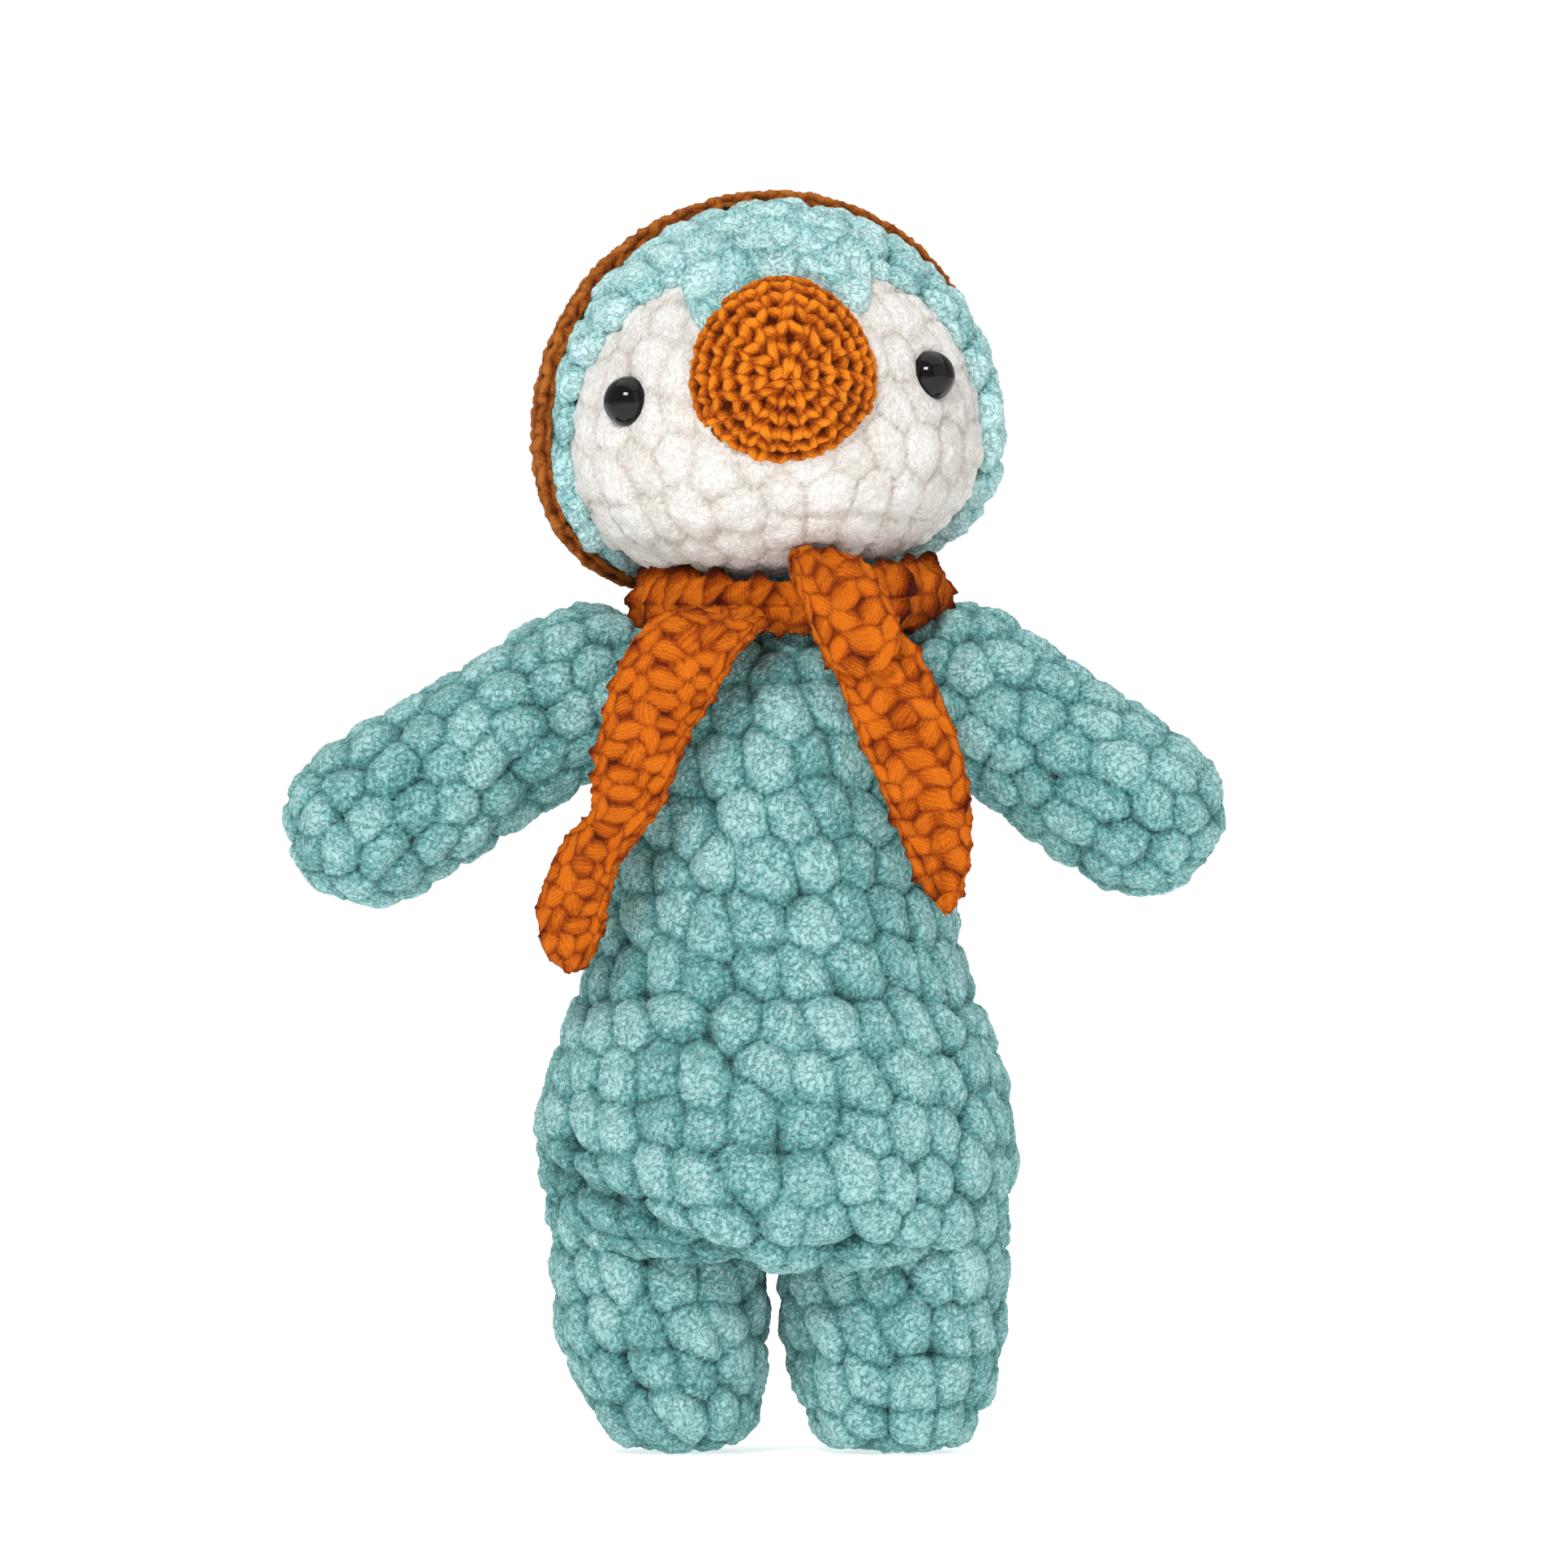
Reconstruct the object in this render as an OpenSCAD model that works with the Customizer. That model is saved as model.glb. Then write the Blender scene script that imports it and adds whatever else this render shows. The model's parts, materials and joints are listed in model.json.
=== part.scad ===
// Crocheted plush penguin with a hood, an orange cap and a knotted scarf.
// Millimetres, +Z up, the penguin faces -Y. The origin is on the floor, under the middle of the whole toy.
// Left and right are as seen from the front, so left is the -X side.

/* [Torso] */
// Distance of the torso axis to the right of the middle of the arm span
torso_x = 4; // [2:0.5:6]
// How far the torso axis stands behind the middle of the whole toy
torso_y = 3; // [1:0.5:5]
// Largest half width of the belly
belly_r = 48; // [46:0.5:50]
// Half width of the chest
chest_r = 34; // [32:0.5:35]
// Half depth of the belly
belly_depth = 39; // [37:0.5:40]
// Thickness of the chenille crochet
chenille_wall = 5; // [4:0.5:6]

/* [Head] */
// Half width and half depth of the white head, at its widest level
head_r = 41; // [41:0.2:41.4]
// Height of the top of the white head above its widest level
head_up = 40.6; // [40:0.2:40.8]
// Depth of the chin below the widest level
head_down = 30; // [29.5:0.5:30]
// Height of the head's widest level above the neck pivot
head_rise = 31; // [31:0.2:32]
// Sideways tilt of the head, in degrees
head_tilt = 5; // [0:0.5:6]
// How far the face is turned to the right, in degrees
head_yaw = 4.5; // [0:0.5:6]
// Thickness of the teal hood
hood_wall = 3.8; // [3:0.2:4]
// Thickness of the orange cap
cap_wall = 2.6; // [2:0.2:3]
// Radius of the beak at its base
beak_r = 18.2; // [16:0.2:19]
// Length of the beak from its rim to its tip
beak_len = 15.5; // [13:0.5:17]
// Thickness of the beak's crochet
beak_wall = 2.6; // [2:0.2:3]
// Radius of a safety eye's dome
eye_r = 5; // [4:0.5:5.5]

/* [Limbs] */
// Radius of both arms
arm_r = 17.5; // [16:0.5:18]
// Distance from the left shoulder to the centre of the rounded hand
arm_reach_left = 49.5; // [44:0.5:52]
// Distance from the right shoulder to the centre of the rounded hand
arm_reach_right = 41.5; // [38:0.5:44]
// Slope of the left arm below level, in degrees
arm_slope_left = 31.5; // [28:0.5:35]
// Slope of the right arm below level, in degrees
arm_slope_right = 35; // [30:0.5:36]
// Radius of the left leg
leg_r_left = 21.5; // [20:0.5:22]
// Radius of the right leg
leg_r_right = 23; // [21.5:0.5:23]

/* [Scarf] */
// Thickness of the scarf's crocheted strip
scarf_wall = 4; // [3:0.5:5]
// Radius of the rolled strip around the neck
wrap_tube_r = 5.4; // [4.8:0.1:5.4]

/* [Hidden] */
$fn = 64;

// Colours
TEAL = [0.52, 0.76, 0.74];
WHITE = [0.93, 0.91, 0.88];
ORANGE = [0.78, 0.35, 0.06];
BLACK = [0.03, 0.03, 0.04];
FIBRE = [0.95, 0.95, 0.93];
NYLON = [0.85, 0.85, 0.82];

// Clearances
gap = 0.3; // between bodies that move against each other
fill_gap = 0.2; // between a shell and its stuffing

// Torso profile: half width at each height, from the hips up to the neck
hip_z = 38;
neck_r = 15.5;
neck_bottom_z = 150;
torso_top_z = 168;
torso_stations = [
    [hip_z, belly_r - 0.5],
    [46, belly_r],
    [56, belly_r],
    [66, belly_r - 0.5],
    [76, belly_r - 3],
    [86, belly_r - 7.5],
    [96, chest_r + 3],
    [104, chest_r + 0.5],
    [128, chest_r],
    [142, chest_r - 2],
    [150, chest_r - 5],
    [156, chest_r - 12]
];
// Half depth at each height, where the belly and the back are flatter than they are wide
torso_depths = [
    [hip_z, belly_depth - 3],
    [50, belly_depth],
    [66, belly_depth],
    [90, belly_depth - 6],
    [110, belly_depth - 9],
    [142, belly_depth - 10],
    [156, belly_depth - 18]
];

// Neck: a ball, a ring and a socket share one centre, so the head turns, tilts and nods about it
neck_pivot = [torso_x + 2, torso_y, 171];
neck_ball_r = 9;
neck_ring_wall = 2.7;
neck_ring_half = 4.5;
neck_ring_r = neck_ball_r + gap + neck_ring_wall;
neck_socket_r = neck_ring_r + gap;

// Shoulders: the same ball, ring and socket
shoulder_out = 37.5;
shoulder_z = 150.5;
arm_ball_r = 13.2;
arm_ring_wall = 2.3;
arm_ring_half = 3.5;
arm_ring_r = arm_ball_r + gap + arm_ring_wall;
arm_socket_r = arm_ring_r + gap;
arm_neck_angle = 55; // from the arm's axis to where the arm leaves its ball
arm_neck_t = arm_ball_r * cos(arm_neck_angle);
arm_neck_r = arm_ball_r * sin(arm_neck_angle);
arm_flare = 0.94; // length of the flare for each millimetre of radius it gains
arm_root_t = 4; // where the flare starts, inside the ball
arm_root_r = arm_neck_r - (arm_neck_t - arm_root_t) / arm_flare;

// Hips
hip_pivot_z = 46;
leg_left_x = -19.6;
leg_right_x = 27.8;
leg_ball_r = 17;
leg_shoulder_z = 30; // below this the leg has its full radius
foot_round = 10; // rounding of the foot's edge
hip_sweep = 19; // how far below the pivot a leg still enters the torso when it swings
hip_side = 1.5; // the leg is this much narrower where it enters the torso

// Head, hood, cap and forehead patch, in the head's own frame with its centre at zero
head_up_side_r = 30; // rounding of the head's sides above the widest level, seen from the front
head_down_side_r = 28; // rounding of the jaw
hood_front_y = -16;
hood_bottom_z = -22.4;
cap_front_y = 6;
cap_bottom_z = -20.4;
cap_gap = 0.3;
patch_half_w = 19;
patch_bottom_z = 21.6;
patch_wall = 3.6;
beak_z = 11.2;
beak_rim_y = -35.5;
beak_back = 6; // how far the beak's skirt reaches back to the face
beak_steps = 8;
face_ball_r = head_r + gap; // the ball that the beak is fitted to
big = 200;

// Eyes
eye_around = 49; // degrees from straight ahead to each eye
eye_z = 7;
eye_ring_r = 40.2; // distance of the face from the head's axis at the eyes' level
eye_sink = 1;
eye_stem_r = 1.6;
eye_stem_len = 9;
washer_r = 5.5;
washer_wall = 1.4;
washer_room = 0.05; // room round the stem in the washer's hole
washer_depth = chenille_wall + 1.8;

// Scarf: the wrap goes round the neck, and each tail is a strip along its own middle line
wrap_r = neck_r + gap + wrap_tube_r;
wrap_z = 163.5;
knot_at = [16, -29.8, 167];
knot_r = 8.6;
knot_half_depth = 4.8;
knot_side_r = 3.8;
knot_turn = 20; // turned to follow the wrap, in degrees
// Each point is [x, y, z, half width, turn about Z in degrees]
tail_right_line = [
    [21, -31, 157, 7, 8],
    [23, -31, 152, 8.6, 8],
    [27, -30, 145, 9.2, 10],
    [31, -29, 134, 9.2, 14],
    [34, -28, 122, 8.4, 18],
    [36, -27, 113, 5.6, 20],
    [37, -26, 106, 1.4, 20]
];
tail_left_line = [
    [-12, -31, 157, 7, -6],
    [-16, -31, 152, 8.6, -10],
    [-21, -30, 144, 9, -16],
    [-24, -29, 133, 8.6, -20],
    [-28, -28, 124, 7.8, -24],
    [-34, -26, 116, 7.6, -28],
    [-36, -25, 106, 7.6, -30],
    [-36, -25, 97, 3.2, -30]
];

// ---- shapes that repeat ----

// The upper half of the profile of a rounded ball, with half width r and height h. Its side is an arc of radius
// side_r and its top is an arc that meets the side smoothly. Every face is then moved out by grow.
module half_profile(r, h, side_r, grow) {
    ring_r = r - side_r;
    cap_r = (ring_r * ring_r + h * h - side_r * side_r) / (2 * (h - side_r));
    cap_drop = cap_r - h;
    reach = 2 * cap_r / cap_drop;
    intersection() {
        translate([0, -cap_drop]) circle(r = cap_r + grow);
        polygon([[0, 0], [ring_r, 0], [ring_r * reach, cap_drop * (reach - 1)], [0, 2 * cap_r]]);
    }
    intersection() {
        translate([ring_r, 0]) circle(r = side_r + grow);
        square(4 * cap_r);
    }
}

// A ball that is up high above its widest level and down deep below it
module uneven_ball(r, up, up_side_r, down, down_side_r, grow) {
    rotate([0, 0, 90]) rotate_extrude() {
        half_profile(r, up, up_side_r, grow);
        mirror([0, 1]) half_profile(r, down, down_side_r, grow);
    }
}

// The white head, with every face moved out by grow
module head_ball(grow) {
    uneven_ball(head_r, head_up, head_up_side_r, head_down, head_down_side_r, grow);
}

// A ring cut from a hollow ball, with its axis along Z
module ball_ring(outer_r, wall, half_len) {
    difference() {
        intersection() {
            sphere(r = outer_r);
            translate([0, 0, -half_len]) cylinder(r = outer_r + 1, h = 2 * half_len);
        }
        sphere(r = outer_r - wall);
    }
}

// Places a shape on a shoulder, with +Z along the arm. side is -1 for left and 1 for right.
module at_shoulder(side, slope) {
    translate([torso_x + side * shoulder_out, torso_y, shoulder_z])
        rotate([0, side * (90 + slope), 0])
            children();
}

// Places a shape in the head's own frame, centred on its widest level
module at_head() {
    translate(neck_pivot)
        rotate([0, -head_tilt, 0])
            rotate([0, 0, head_yaw])
                translate([0, 0, head_rise])
                    children();
}

// Places a shape on the face at an eye, with +Z pointing out of the face
module at_eye(side) {
    translate([side * eye_ring_r * sin(eye_around), -eye_ring_r * cos(eye_around), eye_z])
        rotate([0, 0, side * eye_around])
            rotate([90, 0, 0])
                children();
}

// ---- torso ----

// The torso, drawn in by inset from every face
module torso_form(inset) {
    inset_stations = [for (s = torso_stations) [s[1] - inset, s[0]]];
    shoulder_top_z = torso_stations[len(torso_stations) - 1][0];
    profile = concat([[0, hip_z]], inset_stations, [[0, shoulder_top_z]]);
    front = [for (s = torso_depths) [s[1] - inset, s[0]]];
    back = [for (i = [len(front) - 1:-1:0]) [-front[i][0], front[i][1]]];
    difference() {
        union() {
            translate([torso_x, torso_y, 0])
                intersection() {
                    rotate_extrude() polygon(profile);
                    rotate([90, 0, 90])
                        translate([0, 0, -belly_r]) linear_extrude(2 * belly_r) polygon(concat(front, back));
                    translate([0, 0, hip_z + inset])
                        cylinder(r = belly_r + 1, h = shoulder_top_z - hip_z - 2 * inset);
                }
            translate([neck_pivot[0], neck_pivot[1], neck_bottom_z])
                cylinder(r = neck_r - inset, h = torso_top_z - neck_bottom_z - inset);
        }
        translate(neck_pivot) sphere(r = neck_socket_r + inset);
        for (side = [-1, 1])
            translate([torso_x + side * shoulder_out, torso_y, shoulder_z]) sphere(r = arm_socket_r + inset);
        hip_relief(leg_left_x, leg_r_left, inset);
        hip_relief(leg_right_x, leg_r_right, inset);
    }
}

// The room that a leg needs inside the torso over its whole swing: a ball between two upright planes
module hip_relief(x, leg_r, inset) {
    room = 2 * gap + inset;
    ball_r = sqrt(leg_r * leg_r + hip_sweep * hip_sweep) + room;
    half_w = leg_r - hip_side + room;
    translate([x, torso_y, hip_pivot_z])
        intersection() {
            sphere(r = ball_r);
            translate([-half_w, -big / 2, -big / 2]) cube([2 * half_w, big, big]);
        }
}

module torso_shell() {
    color(TEAL)
        difference() {
            torso_form(0);
            torso_form(chenille_wall);
        }
}

module torso_stuffing() {
    color(FIBRE) torso_form(chenille_wall + fill_gap);
}

// ---- legs ----

// A leg standing on the floor, drawn in by inset from every face
module leg_form(x, leg_r, inset) {
    r = leg_r - inset;
    round_r = foot_round - inset;
    translate([x, torso_y, 0]) {
        translate([0, 0, hip_pivot_z]) sphere(r = leg_ball_r - inset);
        translate([0, 0, leg_shoulder_z - inset])
            cylinder(r1 = r, r2 = leg_ball_r - inset, h = hip_pivot_z - leg_shoulder_z + inset);
        translate([0, 0, foot_round]) cylinder(r = r, h = leg_shoulder_z - foot_round - inset);
        translate([0, 0, inset]) cylinder(r = leg_r - foot_round, h = foot_round - inset);
        translate([0, 0, foot_round])
            rotate_extrude()
                intersection() {
                    translate([leg_r - foot_round, 0]) circle(r = round_r);
                    translate([0, -foot_round]) square([leg_r, foot_round]);
                }
    }
}

module leg_shell(x, leg_r) {
    color(TEAL)
        difference() {
            leg_form(x, leg_r, 0);
            leg_form(x, leg_r, chenille_wall);
        }
}

module leg_stuffing(x, leg_r) {
    color(FIBRE) leg_form(x, leg_r, chenille_wall + fill_gap);
}

// ---- arms ----

// An arm along +Z from its shoulder ball at zero, drawn in by inset from every face
module arm_form(reach, inset) {
    flare_end = arm_root_t + arm_flare * (arm_r - arm_root_r);
    rotate_extrude()
        intersection() {
            union() {
                circle(r = arm_ball_r - inset);
                translate([0, reach]) circle(r = arm_r - inset);
                polygon([
                    [0, arm_root_t],
                    [arm_root_r - inset, arm_root_t],
                    [arm_r - inset, flare_end],
                    [arm_r - inset, reach],
                    [0, reach]
                ]);
            }
            translate([0, -arm_ball_r]) square([arm_r, arm_ball_r + reach + arm_r]);
        }
}

module arm_shell(side, slope, reach) {
    color(TEAL)
        at_shoulder(side, slope)
            difference() {
                arm_form(reach, 0);
                arm_form(reach, chenille_wall);
            }
}

module arm_stuffing(side, slope, reach) {
    color(FIBRE) at_shoulder(side, slope) arm_form(reach, chenille_wall + fill_gap);
}

// The whip-stitched ring that holds an arm to the torso
module arm_seam(side, slope) {
    color(TEAL) at_shoulder(side, slope) ball_ring(arm_ring_r, arm_ring_wall, arm_ring_half);
}

// ---- neck ----

module neck_stuffing() {
    color(FIBRE) translate(neck_pivot) sphere(r = neck_ball_r);
}

module neck_seam() {
    color(TEAL) translate(neck_pivot) ball_ring(neck_ring_r, neck_ring_wall, neck_ring_half);
}

// ---- head ----

// The white head ball in its own frame, drawn in by inset, open where it sits on the neck
module head_form(inset) {
    difference() {
        head_ball(-inset);
        translate([0, 0, -head_rise]) sphere(r = neck_socket_r + inset);
    }
}

module head_shell() {
    color(WHITE)
        at_head()
            difference() {
                head_form(0);
                head_form(chenille_wall);
                for (side = [-1, 1])
                    at_eye(side) {
                        translate([0, 0, -eye_sink]) sphere(r = eye_r + fill_gap);
                        translate([0, 0, -eye_stem_len])
                            cylinder(r = eye_stem_r + fill_gap, h = eye_stem_len);
                    }
            }
}

module head_stuffing() {
    color(FIBRE)
        at_head()
            difference() {
                head_form(chenille_wall + fill_gap);
                for (side = [-1, 1])
                    at_eye(side)
                        translate([0, 0, -eye_stem_len - 1])
                            cylinder(r = washer_r + fill_gap, h = eye_stem_len);
            }
}

// A shell that lies on the head, between two distances from the head ball
module head_layer(inner, outer) {
    difference() {
        head_ball(outer);
        head_ball(inner);
    }
}

module hood() {
    color(TEAL)
        at_head()
            intersection() {
                head_layer(fill_gap, hood_wall);
                translate([-big / 2, hood_front_y, hood_bottom_z]) cube(big);
            }
}

module cap() {
    color(ORANGE)
        at_head()
            intersection() {
                head_layer(hood_wall + cap_gap, hood_wall + cap_gap + cap_wall);
                translate([-big / 2, cap_front_y, cap_bottom_z]) cube(big);
            }
}

// The patch that runs from the hood down over the forehead to the top of the beak
module forehead_patch() {
    color(TEAL)
        at_head()
            difference() {
                intersection() {
                    head_layer(fill_gap, patch_wall);
                    translate([-patch_half_w, hood_front_y - fill_gap - big, patch_bottom_z])
                        cube([2 * patch_half_w, big, big]);
                }
                translate([0, 0, beak_z])
                    rotate([90, 0, 0]) cylinder(r = beak_r + fill_gap, h = big);
            }
}

// The beak's outer shape or its hollow, pointing along +Z from its rim at zero
module beak_form(r, len) {
    profile = [
        for (i = [0:beak_steps])
            let (u = i / beak_steps)
                [r * (1 - pow(u, 1.5)), len * u]
    ];
    rotate_extrude() polygon(concat([[0, -beak_back], [r, -beak_back]], profile));
}

module at_beak() {
    at_head() translate([0, beak_rim_y, beak_z]) rotate([90, 0, 0]) children();
}

module beak_shell() {
    color(ORANGE)
        difference() {
            at_beak()
                difference() {
                    beak_form(beak_r, beak_len);
                    beak_form(beak_r - beak_wall, beak_len - beak_wall);
                }
            at_head() sphere(r = face_ball_r);
        }
}

module beak_stuffing() {
    inset = beak_wall + fill_gap;
    color(FIBRE)
        at_beak()
            intersection() {
                beak_form(beak_r - inset, beak_len - inset);
                translate([-big / 2, -big / 2, face_ball_r + beak_rim_y]) cube(big);
            }
}

// A safety eye: a dome on a stem that goes through the face
module eye(side) {
    color(BLACK)
        at_head()
            at_eye(side) {
                translate([0, 0, -eye_sink])
                    intersection() {
                        sphere(r = eye_r);
                        translate([0, 0, -eye_sink]) cylinder(r = eye_r + 1, h = 2 * eye_r);
                    }
                translate([0, 0, -eye_stem_len]) cylinder(r = eye_stem_r, h = eye_stem_len);
            }
}

// The washer that clamps an eye's stem inside the face
module eye_washer(side) {
    color(NYLON)
        at_head()
            at_eye(side)
                translate([0, 0, -washer_depth - washer_wall])
                    difference() {
                        cylinder(r = washer_r, h = washer_wall);
                        translate([0, 0, -1]) cylinder(r = eye_stem_r + washer_room, h = washer_wall + 2);
                    }
}

// ---- scarf ----

// The strip that goes once round the neck
module scarf_wrap() {
    color(ORANGE)
        translate([neck_pivot[0], neck_pivot[1], wrap_z])
            rotate_extrude() translate([wrap_r, 0]) circle(r = wrap_tube_r);
}

// The loop where the two ends cross, in front of the wrap
module scarf_knot() {
    color(ORANGE)
        translate(knot_at)
            rotate([90, 0, knot_turn])
                uneven_ball(knot_r, knot_half_depth, knot_side_r, knot_half_depth, knot_side_r, 0);
}

// A strip of crochet along a line of [x, y, z, half width, turn]
module strip(line) {
    corners = [[-1, -1], [1, -1], [1, 1], [-1, 1]];
    points = [
        for (p = line)
            for (c = corners)
                [
                    p[0] + c[0] * p[3] * cos(p[4]) - c[1] * scarf_wall / 2 * sin(p[4]),
                    p[1] + c[0] * p[3] * sin(p[4]) + c[1] * scarf_wall / 2 * cos(p[4]),
                    p[2]
                ]
    ];
    last = 4 * (len(line) - 1);
    sides = [
        for (i = [0:len(line) - 2])
            for (k = [0:3])
                let (a = 4 * i + k, b = 4 * i + (k + 1) % 4)
                    each [[a, b, a + 4], [b, b + 4, a + 4]]
    ];
    polyhedron(points, concat([[3, 2, 1, 0]], sides, [[last, last + 1, last + 2, last + 3]]));
}

module scarf_tail_left() {
    color(ORANGE) strip(tail_left_line);
}

module scarf_tail_right() {
    color(ORANGE) strip(tail_right_line);
}

torso_shell();
torso_stuffing();
leg_shell(leg_left_x, leg_r_left);  // leg_left_shell
leg_stuffing(leg_left_x, leg_r_left);  // leg_left_stuffing
leg_shell(leg_right_x, leg_r_right);  // leg_right_shell
leg_stuffing(leg_right_x, leg_r_right);  // leg_right_stuffing
arm_shell(-1, arm_slope_left, arm_reach_left);  // arm_left_shell
arm_stuffing(-1, arm_slope_left, arm_reach_left);  // arm_left_stuffing
arm_seam(-1, arm_slope_left);  // arm_left_seam
arm_shell(1, arm_slope_right, arm_reach_right);  // arm_right_shell
arm_stuffing(1, arm_slope_right, arm_reach_right);  // arm_right_stuffing
arm_seam(1, arm_slope_right);  // arm_right_seam
neck_stuffing();
neck_seam();
head_shell();
head_stuffing();
hood();
forehead_patch();
cap();
beak_shell();
beak_stuffing();
eye(-1);  // eye_left
eye(1);  // eye_right
eye_washer(-1);  // eye_washer_left
eye_washer(1);  // eye_washer_right
scarf_wrap();
scarf_knot();
scarf_tail_left();
scarf_tail_right();
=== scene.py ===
import json
import math

import bpy
import numpy as np
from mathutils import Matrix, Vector


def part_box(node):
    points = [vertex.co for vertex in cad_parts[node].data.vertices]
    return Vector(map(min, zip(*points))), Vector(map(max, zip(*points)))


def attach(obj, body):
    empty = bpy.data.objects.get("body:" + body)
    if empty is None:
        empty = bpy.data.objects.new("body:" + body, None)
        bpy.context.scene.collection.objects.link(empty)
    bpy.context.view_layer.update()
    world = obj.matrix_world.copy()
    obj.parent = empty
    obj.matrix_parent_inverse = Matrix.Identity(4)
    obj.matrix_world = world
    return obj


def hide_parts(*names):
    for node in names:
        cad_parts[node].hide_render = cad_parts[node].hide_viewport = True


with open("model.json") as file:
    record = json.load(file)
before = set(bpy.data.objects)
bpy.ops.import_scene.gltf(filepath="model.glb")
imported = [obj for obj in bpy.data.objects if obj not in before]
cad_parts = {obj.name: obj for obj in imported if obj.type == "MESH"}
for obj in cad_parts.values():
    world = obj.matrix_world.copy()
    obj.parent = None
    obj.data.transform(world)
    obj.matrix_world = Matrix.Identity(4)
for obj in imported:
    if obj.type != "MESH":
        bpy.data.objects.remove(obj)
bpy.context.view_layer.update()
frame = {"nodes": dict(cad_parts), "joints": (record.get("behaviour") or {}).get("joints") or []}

MM = 0.001
JOINTS = {joint["name"]: joint for joint in frame["joints"]}


def pivot(joint):
    """The place of a joint, in millimetres."""
    return np.array(JOINTS[joint]["pos_m"], float) / MM


def node_box(node):
    """The lowest and highest corner of a CAD node, in millimetres."""
    low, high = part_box(node)
    return np.array(low, float) / MM, np.array(high, float) / MM


# ---- numbers that shape the crochet ----

CHENILLE_STEP = 0.62  # distance between mesh points on the chenille
YARN_STEP = 0.42  # distance between mesh points on the orange yarn
BODY_STITCH = (9.3, 10.3)  # width and height of one chenille stitch
ARM_STITCH = (9.0, 8.8)
FACE_STITCH = (9.0, 9.4)
HOOD_STITCH = (7.4, 7.6)
CAP_STITCH = (5.2, 4.4)
BEAK_STITCH = (4.4, 3.7)
WRAP_STITCH = (8.6, 9.0)
STRIP_STITCH = (7.6, 4.2)  # on the knot and the right tail
LEFT_TAIL_STITCH = (6.6, 4.0)
SEAM_STITCH = (3.4, 3.4)
CRINKLE = 1.25  # size of the tufts in the chenille's pile
LUMP = 4.6  # size of the lumps on a chenille stitch
CREASE_DEPTH = 2.4  # how far a full crease draws the crochet in
DIMPLE_FADE = 2.5  # how far outside a dimple the stitches reach their full height

# ---- small tools ----


def unit(v):
    return v / np.maximum(np.linalg.norm(v, axis=-1, keepdims=True), 1e-9)


def turned(axis, degrees):
    """A rotation matrix about x, y or z."""
    c, s = math.cos(math.radians(degrees)), math.sin(math.radians(degrees))
    if axis == "x":
        return np.array([[1, 0, 0], [0, c, -s], [0, s, c]])
    if axis == "y":
        return np.array([[c, 0, s], [0, 1, 0], [-s, 0, c]])
    return np.array([[c, -s, 0], [s, c, 0], [0, 0, 1]])


def full_turn(count):
    """Angles all the way round, in equal steps."""
    return 2 * math.pi * np.arange(count) / count


def directions(rise, columns):
    """Directions in rows from low to high. Each row starts at the back, where its seam is out of sight."""
    around = full_turn(columns)
    level = np.cos(rise)[:, None]
    height = np.broadcast_to(np.sin(rise)[:, None], (len(rise), columns))
    return np.stack([-level * np.sin(around), level * np.cos(around), height], -1)


def cut_corners(points):
    """A line of stations with its corners rounded off."""
    line = np.array(points, float)
    for _ in range(3):
        a, b = line[:-1], line[1:]
        inner = np.stack([0.75 * a + 0.25 * b, 0.25 * a + 0.75 * b], 1).reshape(-1, line.shape[1])
        line = np.vstack([line[:1], inner, line[-1:]])
    return line


def even_steps(line, step):
    """The line cut into equal steps, by its first three columns."""
    lengths = np.linalg.norm(np.diff(line[:, :3], axis=0), axis=1)
    along = np.concatenate([[0], np.cumsum(lengths)])
    count = max(4, int(round(along[-1] / step)))
    wanted = np.linspace(0, along[-1], count + 1)
    return np.stack([np.interp(wanted, along, line[:, i]) for i in range(line.shape[1])], 1)


def normals_of(grid):
    """The outward normals of a grid of points, [rows, columns, 3]."""
    across = np.roll(grid, -1, 1) - np.roll(grid, 1, 1)
    along = np.gradient(grid, axis=0)
    return unit(np.cross(across, along))


def hashed(cell, seed):
    """Three numbers from 0 to 1 for each whole-number cell, always the same for the same cell and seed."""
    c = cell.astype(np.int64)
    h = c[..., 0] * 73856093 ^ c[..., 1] * 19349663 ^ c[..., 2] * 83492791 ^ (seed * 2654435761)
    out = []
    for k in range(3):
        h = (h ^ (h >> 13)) * 1274126177 + 12345 + k
        h = h & 0x7FFFFFFF
        out.append((h % 100003) / 100003.0)
    return np.stack(out, -1)


def tufts(points, size, seed):
    """Distances to the nearest and the second nearest of points scattered size apart."""
    p = points.reshape(-1, 3) / size
    home = np.floor(p)
    first = np.full(len(p), 9.0)
    second = np.full(len(p), 9.0)
    for i in (-1, 0, 1):
        for j in (-1, 0, 1):
            for k in (-1, 0, 1):
                cell = home + (i, j, k)
                away = np.linalg.norm(p - cell - hashed(cell, seed), axis=1)
                second = np.minimum(second, np.maximum(first, away))
                first = np.minimum(first, away)
    shape = points.shape[:-1]
    return first.reshape(shape), second.reshape(shape)


def soft_noise(points, size, seed):
    """Smooth noise from -1 to 1 with features about size across."""
    p = points.reshape(-1, 3) / size
    home = np.floor(p)
    f = p - home
    f = f * f * (3 - 2 * f)
    total = np.zeros(len(p))
    for i in (0, 1):
        for j in (0, 1):
            for k in (0, 1):
                share = np.abs(1 - i - f[:, 0]) * np.abs(1 - j - f[:, 1]) * np.abs(1 - k - f[:, 2])
                total += share * hashed(home + (i, j, k), seed)[:, 0]
    return (2 * total - 1).reshape(points.shape[:-1])


# ---- crochet ----


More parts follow.
